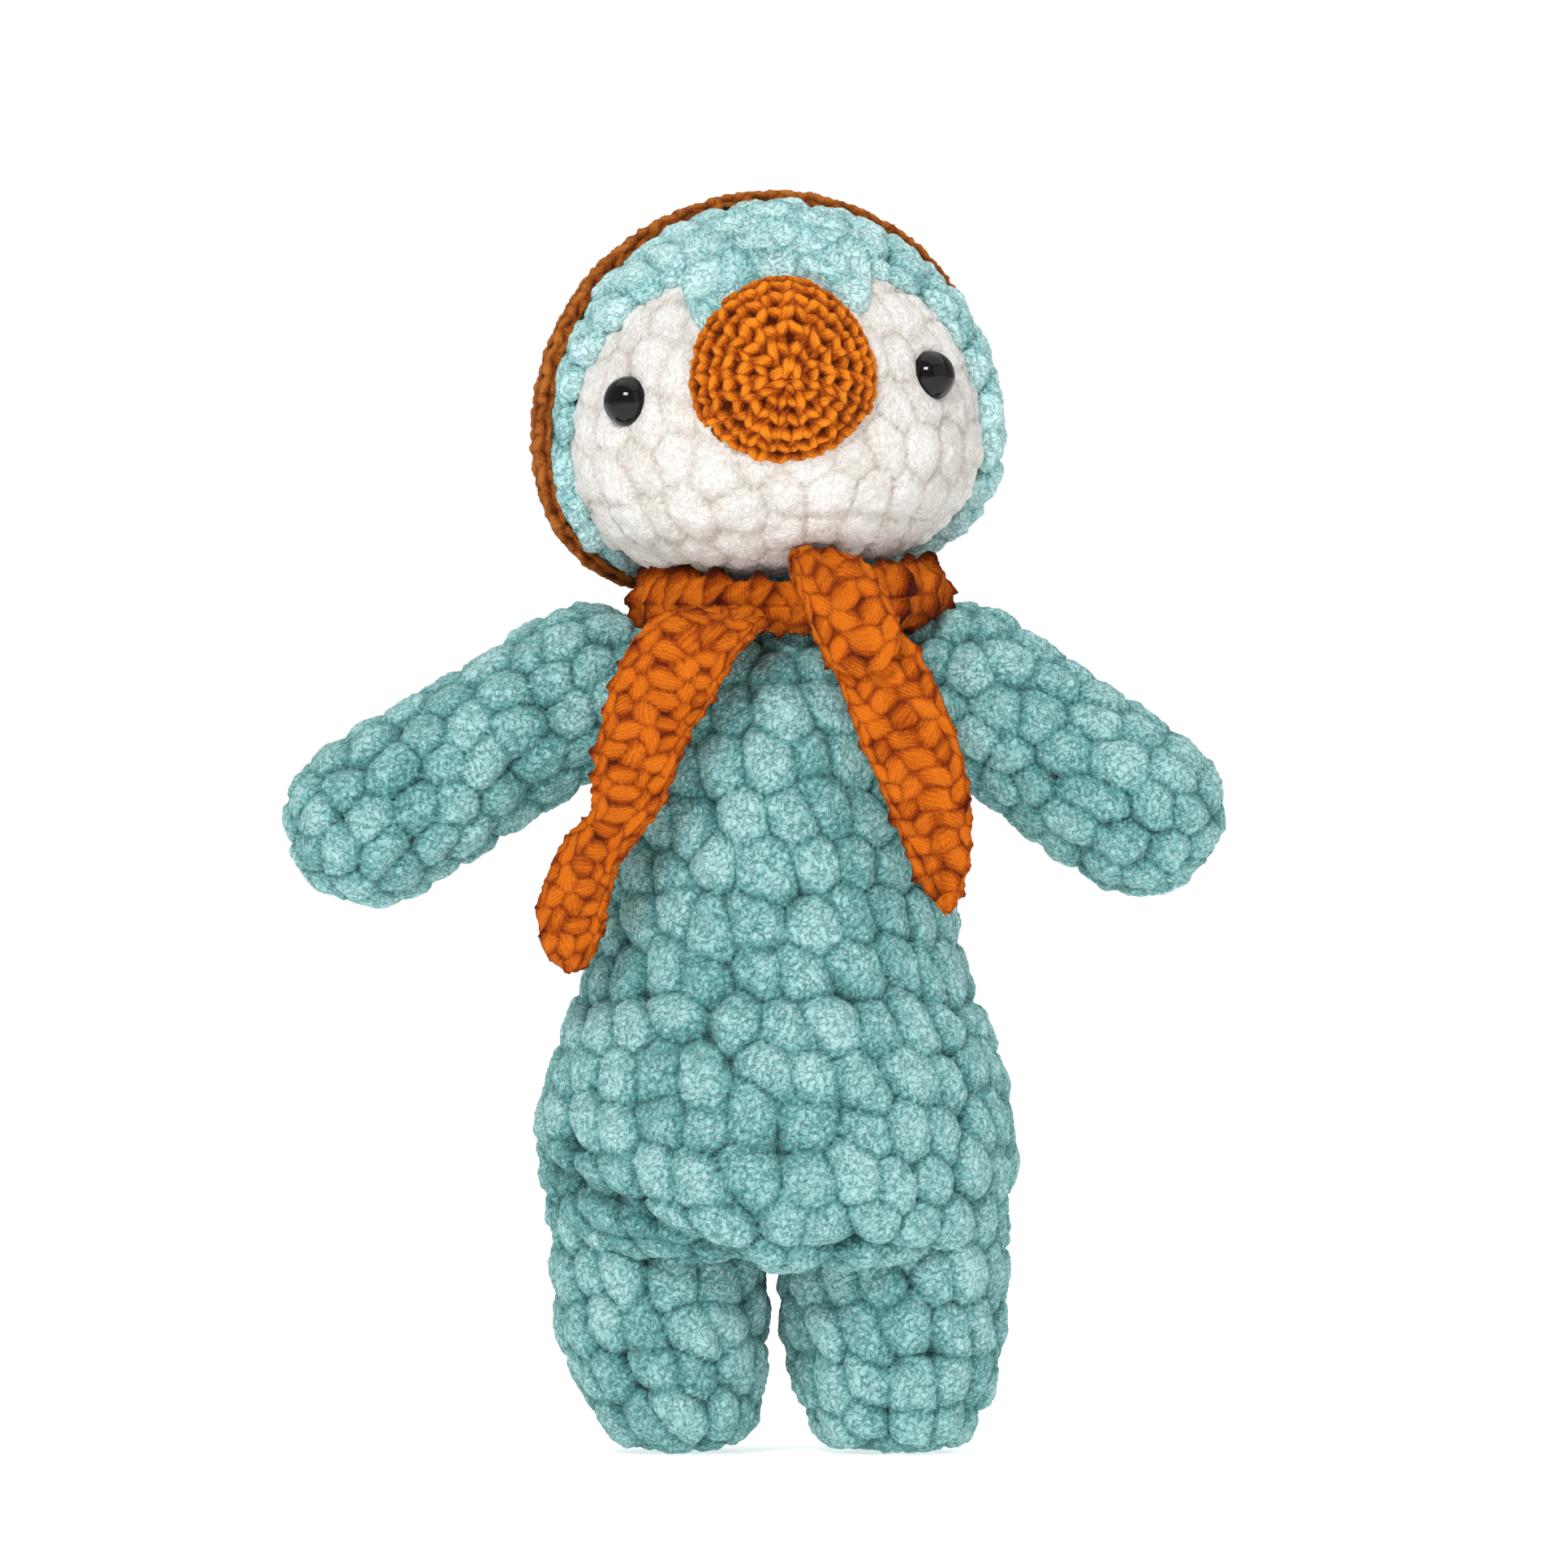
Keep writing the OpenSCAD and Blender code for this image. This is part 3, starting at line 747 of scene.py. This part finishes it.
def build_face():
    step = CHENILLE_STEP * 1.05
    rise = np.linspace(-1.5, 1.5, int(3.0 * HEAD_ARC / step))
    base = to_row(on_head(directions(rise, int(2 * math.pi * HEAD_R / step))))
    girth = 2 * math.pi * HEAD_R * np.cos(rise)
    s = (rise - rise[0]) * HEAD_ARC
    flats = []
    for side in (-1, 1):
        a = math.radians(side * EYE_AROUND)
        flats.append((to_row(np.array([EYE_OUT * math.sin(a), -EYE_OUT * math.cos(a), EYE_Z])), 4.0))
    flats.append((to_row(BEAK_AT + np.array([0, -2.0, 0])), 17.5))
    grid, fields = chenille(
        base, girth, s, FACE_STITCH, 41, bulge=2.4, sink=1.5, slant=0.3, pile=0.4, size=0.8, dimples=flats
    )
    piece = make_piece("head_crochet", grid, fields, WHITE)
    finish_piece(piece, "head", ["head_shell"])


def rim_angle(around, rim):
    """How far back from straight ahead a rim lies, all round the face, with its corners softened."""
    at = np.array([r[0] for r in rim], float)
    back = np.array([r[1] for r in rim], float)
    degrees = np.degrees(around) % 360
    rough = np.interp(degrees, at, back, period=360)
    near = [np.interp((degrees + k) % 360, at, back, period=360) for k in (-9, -5, 5, 9)]
    return np.radians((rough + sum(near)) / 5)


def shell_over_head(rim, inner, outer, step, edge):
    """A grid over the back of the head, from a rolled front rim to the pole behind. Rows run along the rim.
    inner and outer are the shell's faces above the head's skin, and edge is the depth of the rolled rim."""
    columns = int(2 * math.pi * (HEAD_R + outer) / step)
    around = full_turn(columns) + 1.5 * math.pi
    start = rim_angle(around, rim)
    middle, half = (inner + outer) / 2, (outer - inner) / 2
    backs, outs, s = [], [], []
    for angle in np.radians(np.arange(-90, 90, math.degrees(step / edge))):
        backs.append(start + (edge - edge * math.cos(angle)) / SHELL_ARC)
        outs.append(middle + half * math.sin(angle))
        s.append(edge * (angle + math.pi / 2))
    rolled = s[-1]
    first = start + edge / SHELL_ARC
    rows = int(math.pi / 2 * SHELL_R / step)
    for share in np.arange(1, rows) / rows:
        backs.append(first + (math.radians(177) - first) * share)
        outs.append(outer)
        s.append(rolled + share * float(np.mean(math.pi - first)) * SHELL_ARC)
    back = np.stack(backs)
    out = np.broadcast_to(np.array(outs)[:, None], back.shape)
    way = np.stack([np.sin(back) * np.cos(around), -np.cos(back), np.sin(back) * np.sin(around)], -1)
    girth = np.maximum(2 * math.pi * SHELL_R * np.sin(back).mean(axis=1), 6)
    return to_row(on_head(way, out))[:, ::-1], girth, np.array(s)


# Each rim is a list of (degrees round from the +X side, degrees back from straight ahead)
HOOD_RIM = [
    (0, 78), (15, 74), (35, 66), (60, 55), (90, 48), (120, 55), (145, 66), (165, 74), (180, 78), (195, 81),
    (210, 86), (220, 97), (230, 112), (245, 126), (270, 132), (295, 126), (310, 112), (320, 97), (330, 86),
    (345, 81),
]  # fmt: skip
CAP_RIM = [
    (0, 116), (15, 108), (30, 98), (50, 91), (90, 87), (135, 81), (160, 79), (180, 80), (200, 84),
    (215, 92), (228, 108), (245, 128), (270, 135), (300, 134), (330, 125),
]  # fmt: skip


def build_hood():
    base, girth, s = shell_over_head(HOOD_RIM, inner=-0.6, outer=3.4, step=CHENILLE_STEP * 1.1, edge=2.6)
    grid, fields = chenille(base, girth, s, HOOD_STITCH, 51, bulge=3.5, sink=1.8, slant=0.3, size=0.76)
    piece = make_piece("hood_crochet", grid, fields, HOOD_TEAL, poles=(False, True))
    finish_piece(piece, "head", ["hood"])


def build_cap():
    base, girth, s = shell_over_head(CAP_RIM, inner=3.2, outer=6.4, step=YARN_STEP * 1.3, edge=2.4)
    grid, fields = yarn(
        base, girth, s, CAP_STITCH, 61, bulge=1.3, sink=0.9, slant=0.25, zigzag=0.5, groove=0.35
    )
    # the cap's orange is darkened as painted shade
    piece = make_piece("cap_crochet", grid, fields, SHADED_CAP_ORANGE, poles=(False, True))
    finish_piece(piece, "head", ["cap"])


PATCH_AT = (1.2, 40.0)  # x and height of the patch's middle, measured along the head's skin
PATCH_OUTLINE = [  # degrees round the middle, and the distance to the edge there
    (-168, 19.9), (-152, 21.5), (-133, 25.5), (-122, 26.5), (-118, 22), (-112, 16), (-90, 13), (-62, 15.5),
    (-56, 21), (-53, 26.5), (-38, 24), (-14, 20), (14, 17), (54, 14.5), (90, 14), (126, 14.5), (168, 17.5),
]  # fmt: skip


def build_patch():
    step = CHENILLE_STEP * 0.9
    around = -full_turn(int(150 / step))
    at = np.array([o[0] for o in PATCH_OUTLINE], float)
    far = np.array([o[1] for o in PATCH_OUTLINE], float)
    degrees = np.degrees(around)
    edge = sum(np.interp((degrees + k) % 360, at % 360, far, period=360) for k in (-6, -3, 0, 3, 6)) / 5
    rows = int(24 / step) + 6
    share = np.concatenate([[1.0, 1.0, 0.995, 0.98], np.linspace(0.96, 0.02, rows)])
    dome = np.clip(1 - share**5, 0, 1) ** 0.5
    out = np.where(np.arange(len(share)) < 2, [-1.5] + [-0.3] * (len(share) - 1), 0.2 + 4.4 * dome)
    across = share[:, None] * edge * np.cos(around) + PATCH_AT[0]
    upward = share[:, None] * edge * np.sin(around) + PATCH_AT[1]
    rise = upward / HEAD_R
    turn = across / (HEAD_R * np.maximum(np.cos(rise), 0.35))
    way = np.stack([np.cos(rise) * np.sin(turn), -np.cos(rise) * np.cos(turn), np.sin(rise)], -1)
    base = to_row(on_head(way, np.broadcast_to(out[:, None], way.shape[:2])))
    normal = normals_of(base)
    big, big_gap = tufts(base + 1.5 * np.stack([soft_noise(base, 6, k) for k in (1, 2, 3)], -1), 7.0, 71)
    small, _ = tufts(base + normal * 2, 3.2, 72)
    first, gap = tufts(base, CRINKLE, 73)
    groove = np.exp(-(big_gap - big) / 0.12)
    inside = (1 - share**8)[:, None]
    lift = inside * (3.4 * (0.45 - big) - 1.4 * groove + 1.0 * (0.45 - small)) + 0.3 * (0.45 - first)
    # painted shade in the grooves between the patch's lumps, lighter on the lumps
    crest_shading = 1.75 - 0.9 * big - 0.6 * groove - 0.3 * small
    fields = {**shading_fields(crest_shading, first, gap), "tint": 0 * crest_shading}
    grid = base + normal * lift[..., None]
    piece = make_piece("forehead_patch_crochet", grid, fields, HOOD_TEAL, poles=(False, True))
    finish_piece(piece, "head", ["forehead_patch"])


def build_beak():
    share = np.linspace(0.999, 0, 60)
    profile = [(BEAK_R * (1 - u**1.9) ** 0.72, BEAK_LEN * u) for u in share]
    profile += [(BEAK_R * 1.0, -1.5), (BEAK_R * 0.985, -4), (BEAK_R * 0.97, -6.5)]
    line = even_steps(np.array([(r, 0, f) for r, f in profile]), YARN_STEP)
    radius, forward = line[:, 0], line[:, 2]
    s = np.arange(len(line)) * YARN_STEP
    columns = int(2 * math.pi * BEAK_R / YARN_STEP)
    around = -full_turn(columns)
    up = np.sin(around)
    egg = 1 + 0.14 * np.maximum(up, 0) ** 3 - 0.08 * np.maximum(-up, 0) ** 2
    local = np.stack(
        [
            radius[:, None] * egg * np.cos(around),
            np.broadcast_to(-forward[:, None], (len(line), columns)),
            radius[:, None] * egg * up,
        ],
        -1,
    )
    droop = np.array([0, 0, 0.2]) * np.clip(forward / BEAK_LEN, 0, 1)[:, None, None]
    base = to_row(local + BEAK_AT + droop)
    girth = 2 * math.pi * radius
    grid, fields = yarn(
        base, girth, s, BEAK_STITCH, 81, bulge=1.3, sink=0.9, slant=0.15, zigzag=0.6, groove=0.5
    )
    piece = make_piece("beak_crochet", grid, fields, BEAK_ORANGE, poles=(True, False))
    finish_piece(piece, "head", ["beak_shell"])


# ---- scarf ----


WRAP_R = 27.0  # mean radius of the wrap round the neck
WRAP_GIRTH = 40.0  # the way round the folded strip there
STRIP_GIRTH = 44.0  # the way round the strip where it hangs


def build_wrap():
    low, high = node_box("scarf_wrap")
    x, y, z = (low + high) / 2
    around = full_turn(int(2 * math.pi * WRAP_R / YARN_STEP))
    tube = full_turn(int(WRAP_GIRTH / YARN_STEP))
    reach_x, reach_y = 26.5, 22.5
    rise = 0.9 + 3.6 * np.sin(around) ** 2 + 1.2 * np.sin(around) + 2.2 * np.clip(-np.cos(around), 0, 1)
    bulge = 1 + 0.12 * np.sin(3 * around + 1)
    out = 5.0 * np.cos(tube)[:, None] * bulge
    up = 6.3 * np.sin(tube)[:, None] * bulge
    middle_x = x + 1.2
    grid = np.stack(
        [
            middle_x + (reach_x + out) * np.sin(around),
            y + (reach_y + out) * np.cos(around),
            z + rise + up,
        ],
        -1,
    )
    s = np.arange(len(tube)) * WRAP_GIRTH / len(tube)
    girth = np.full(len(tube), 2 * math.pi * WRAP_R)
    shaped, fields = yarn(grid, girth, s, WRAP_STITCH, 91, bulge=3.0, sink=1.7, slant=0.15, zigzag=0.3)
    piece = make_piece("scarf_wrap_crochet", shaped, fields, ORANGE, ring=True)
    finish_piece(piece, "torso", ["scarf_wrap"])
    return piece


# Each station of a strip is x, y, z, half width and turn about Z in degrees
KNOT = [
    (11, -22, 173.0, 4.0, 10), (12.5, -25.5, 174.6, 6.4, 10), (14.6, -29.4, 173, 7.8, 10),
    (17, -32, 168.5, 8.4, 8), (19.4, -33.4, 163, 8.6, 8), (21.4, -33.6, 158, 8.4, 8),
    (22.4, -32.8, 155.2, 6.0, 8), (22.8, -32, 154.4, 2.0, 8),
]  # fmt: skip
TAIL_RIGHT = [
    (20.4, -29.6, 161, 7.0, 8), (22.2, -30.4, 157.6, 8.4, 8), (24.4, -31, 153.5, 8.9, 8),
    (26.7, -31, 148.8, 9.3, 8), (30.5, -30.6, 139.2, 9.6, 12), (34.0, -29.4, 129.6, 8.8, 16),
    (35.9, -28.4, 120, 7.4, 20), (36.6, -27.8, 113.5, 5.4, 20), (37.3, -27.4, 108.6, 3.0, 20),
    (37.6, -27, 106.2, 0.8, 20),
]  # fmt: skip
TAIL_LEFT = [
    (0, -25, 164.5, 4.5, 0), (-5, -29, 163, 7.5, -4), (-10, -32, 160.5, 9, -6),
    (-13.5, -32.4, 157.5, 9.8, -8), (-16.5, -32, 153.6, 10.2, -12), (-20.6, -31, 146, 9.6, -16),
    (-23.2, -30, 137, 8.8, -20), (-24.8, -29.4, 130, 8.2, -24), (-28, -28.4, 122.5, 7.0, -46),
    (-32.5, -27, 117.6, 7.4, -34), (-35.2, -26, 110, 7.8, -28), (-36.2, -25.6, 103, 7.2, -28),
    (-36, -25.4, 98, 5.2, -28), (-35.9, -25.2, 95.6, 2.4, -28), (-35.8, -25.2, 94.8, 0.6, -28),
]  # fmt: skip


def strip(stations, half_thick, centre_groove):
    """A strip of crochet along its stations, with rounded edges and a groove down its front."""
    line = even_steps(cut_corners(stations), YARN_STEP)
    a = full_turn(int(STRIP_GIRTH / YARN_STEP))
    side = np.sign(np.sin(a)) * np.abs(np.sin(a)) ** 0.8
    depth = np.sign(np.cos(a)) * np.abs(np.cos(a)) ** 0.6
    front = np.clip(-depth, 0, 1)
    depth = depth * half_thick + centre_groove * front * np.exp(-((side / 0.16) ** 2))
    turn = np.radians(line[:, 4])[:, None]
    ahead = unit(np.gradient(line[:, :3], axis=0))
    wide = line[:, 3][:, None] * side
    thick = depth * np.minimum(1, line[:, 3] / 4)[:, None]
    across = np.stack([np.cos(turn), np.sin(turn), 0 * turn], -1)
    across = unit(across - (across * ahead[:, None]).sum(-1, keepdims=True) * ahead[:, None])
    back = np.cross(across, ahead[:, None])
    back = back * np.where(back[..., 1:2] < 0, -1, 1)
    grid = line[:, None, :3] + wide[..., None] * across + thick[..., None] * back
    girth = 4 * line[:, 3] + 5
    return grid[::-1], girth[::-1], np.arange(len(line)) * YARN_STEP


def build_strip(node, body, stations, stitch, seed, half_thick, groove, zigzag, slant):
    """The knot or a tail, which stands for the CAD node of that name."""
    base, girth, s = strip(stations, half_thick, groove)
    grid, fields = yarn(
        base, girth, s, stitch, seed, bulge=1.9, sink=1.0, slant=slant, zigzag=zigzag, size=0.82
    )
    piece = make_piece(node + "_crochet", grid, fields, ORANGE)
    finish_piece(piece, body, [node])
    return piece


# ---- inside the toy ----


def build_filling(name, body, centre, size, seed, lean=0.0):
    """A lump of polyester fibre, turned about Y by lean."""
    step = 0.09
    way = directions(np.linspace(-1.5, 1.5, int(3 / step)), int(2 * math.pi / step))
    lumps = 1 + 0.05 * soft_noise(way * 10, 3, seed) + 0.03 * soft_noise(way * 10, 1.2, seed + 1)
    grid = (way * np.array(size) * lumps[..., None]) @ turned("y", lean).T + centre
    piece = make_piece(name + "_fibre", grid, {}, FIBRE)
    finish_piece(piece, body, [name])


def fill(name, body, inset, seed):
    """A lump of fibre in the space of its CAD node."""
    low, high = node_box(name)
    build_filling(name, body, (low + high) / 2, (high - low) / 2 - inset, seed)


def build_ring(name, body, joint, axis, outer, half, seed):
    """The whip-stitched ring of a sewn joint, half wide to each side of it along the axis."""
    columns = int(2 * math.pi * outer / 0.6)
    around = full_turn(columns)
    rows = 24
    tube = full_turn(rows)
    along = unit(np.array(axis, float))
    one = unit(np.cross(along, (0.0, 1.0, 0.1)))
    two = np.cross(along, one)
    reach = outer - 1.2 + 1.0 * np.cos(tube)[:, None]
    grid = reach[..., None] * (np.cos(around)[:, None] * one + np.sin(around)[:, None] * two)
    grid = grid + (half * np.sin(tube))[:, None, None] * along + pivot(joint)
    turn = np.arange(columns)[None, :] / columns
    girth = np.full((rows, 1), 2 * math.pi * outer)
    s = (tube * half)[:, None]
    high, _, _, _ = stitches(
        turn, s, girth, SEAM_STITCH, seed, slant=0.9, size=0.76, zigzag=0.0, **CHENILLE_FORM
    )
    normal = normals_of(grid)
    shaped = grid + normal * (0.5 * high - 0.4)[..., None]
    # painted shade between the seam's stitches, lighter on their crowns
    fields = {"crest_shading": high, "crack_shading": high, "tint": 0 * high}
    piece = make_piece(name + "_yarn", shaped, fields, TEAL, ring=True)
    finish_piece(piece, body, [name])


def build_inside():
    fill("torso_stuffing", "torso", inset=(9, 9, 12), seed=101)
    for side in ("left", "right"):
        fill(f"leg_{side}_stuffing", f"leg_{side}", inset=2, seed=103)
        shoulder, hand = pivot(f"arm_{side}_raise"), hand_centre(side)
        along = hand - shoulder
        lean = -math.degrees(math.atan(along[2] / along[0]))
        size = (np.linalg.norm(along) / 2 + 4, ARM_R - 7.5, ARM_R - 7.5)
        middle = (shoulder + hand) / 2
        build_filling(f"arm_{side}_stuffing", f"arm_{side}", middle, size, seed=105, lean=lean)
        joint = f"arm_{side}_raise"
        build_ring(f"arm_{side}_seam", f"shoulder_{side}", joint, (1, 0, 0), outer=14.7, half=2.8, seed=107)
    fill("neck_stuffing", "neck_core", inset=0.5, seed=111)
    fill("head_stuffing", "head", inset=3, seed=112)
    fill("beak_stuffing", "head", inset=(3, 3.5, 3), seed=113)
    build_ring("neck_seam", "neck_ring", "head_turn", (0, 0, 1), outer=11.8, half=3.8, seed=115)


def dress_hard_parts():
    """The eyes and their washers keep their CAD shape and get their finish."""
    for node, material, slot in (("eye", BLACK, "black_eye"), ("eye_washer", NYLON, "nylon_washer")):
        for side in ("left", "right"):
            part = frame["nodes"][f"{node}_{side}"]
            part.data.materials.clear()
            part.data.materials.append(material)


# ---- stage ----


def build_stage():
    """A pale floor, which glows a little so that it stays as white as the photograph's."""
    bpy.ops.mesh.primitive_plane_add(size=8)
    floor = bpy.context.object
    floor.name = "floor"
    material = bpy.data.materials.new("floor")
    material.use_nodes = True
    shader = material.node_tree.nodes["Principled BSDF"]
    shader.inputs["Base Color"].default_value = (0.95, 0.95, 0.95, 1)
    shader.inputs["Roughness"].default_value = 0.9
    shader.inputs["Emission Color"].default_value = (1, 1, 1, 1)
    shader.inputs["Emission Strength"].default_value = 0.6
    floor.data.materials.append(material)


def area_light(name, at, aim, size, power):
    """A soft light at a place, turned toward another, with its size in metres and its power in watts."""
    light = bpy.data.lights.new(name, "AREA")
    light.shape = "RECTANGLE"
    light.size, light.size_y = size
    light.energy = power
    lamp = bpy.data.objects.new(name, light)
    lamp.location = at
    lamp.rotation_euler = (Vector(aim) - Vector(at)).to_track_quat("-Z", "Y").to_euler()
    bpy.context.scene.collection.objects.link(lamp)


def build_lights():
    """A white world that lights the toy less than it shows, and three soft lights."""
    world = bpy.data.worlds.new("studio")
    bpy.context.scene.world = world
    world.use_nodes = True
    add, link = node_tools(world)
    seen = add("ShaderNodeBackground", Color=(1, 1, 1, 1), Strength=1.0)
    lit = add("ShaderNodeBackground", Color=(1, 0.99, 0.98, 1), Strength=0.45)
    path = add("ShaderNodeLightPath")
    mix = add("ShaderNodeMixShader")
    link(path.outputs["Is Camera Ray"], mix.inputs[0])
    link(lit.outputs[0], mix.inputs[1])
    link(seen.outputs[0], mix.inputs[2])
    out = add("ShaderNodeOutputWorld")
    link(mix.outputs[0], out.inputs["Surface"])
    area_light("key", at=(-0.25, -0.8, 0.75), aim=(0, 0, 0.14), size=(0.3, 0.2), power=6.5)
    area_light("fill", at=(0.8, -0.6, 0.4), aim=(0, 0, 0.12), size=(1.2, 1.2), power=2.2)
    area_light("top", at=(0.1, 0.1, 1.0), aim=(0, 0, 0.15), size=(1.4, 1.0), power=4)


FRAME_PX = 1932  # the photograph's width and height
MM_PER_PX = 0.16
CAMERA_FAR = 2.6  # metres from the toy
CAMERA_X, CAMERA_Z = 0.0056, 0.1318


def build_camera():
    data = bpy.data.cameras.new("camera")
    data.sensor_width = 36
    width = FRAME_PX * MM_PER_PX * MM
    data.lens = data.sensor_width * CAMERA_FAR / width
    camera = bpy.data.objects.new("camera", data)
    camera.location = (CAMERA_X, -CAMERA_FAR, CAMERA_Z)
    camera.rotation_euler = (math.radians(90), 0, 0)
    bpy.context.scene.collection.objects.link(camera)
    bpy.context.scene.camera = camera
    bpy.context.scene.view_settings.view_transform = "Standard"


build_torso()
build_leg("left", foot_shift=4.6, seed=21)
build_leg("right", foot_shift=-0.4, seed=22)
build_arm("left", seed=31)
build_arm("right", seed=32)
build_face()
build_hood()
build_cap()
build_patch()
build_beak()
wrap = build_wrap()
knot = build_strip(
    "scarf_knot", "torso", KNOT, STRIP_STITCH, 96, half_thick=3.6, groove=1.2, zigzag=0.7, slant=0.0
)
tail_right = build_strip(
    "scarf_tail_right",
    "tail_right",
    TAIL_RIGHT,
    STRIP_STITCH,
    97,
    half_thick=2.5,
    groove=1.4,
    zigzag=0.7,
    slant=0.0,
)
tail_left = build_strip(
    "scarf_tail_left",
    "tail_left",
    TAIL_LEFT,
    LEFT_TAIL_STITCH,
    98,
    half_thick=2.5,
    groove=0.0,
    zigzag=0.5,
    slant=0.4,
)
build_inside()
dress_hard_parts()
build_stage()
build_lights()
build_camera()
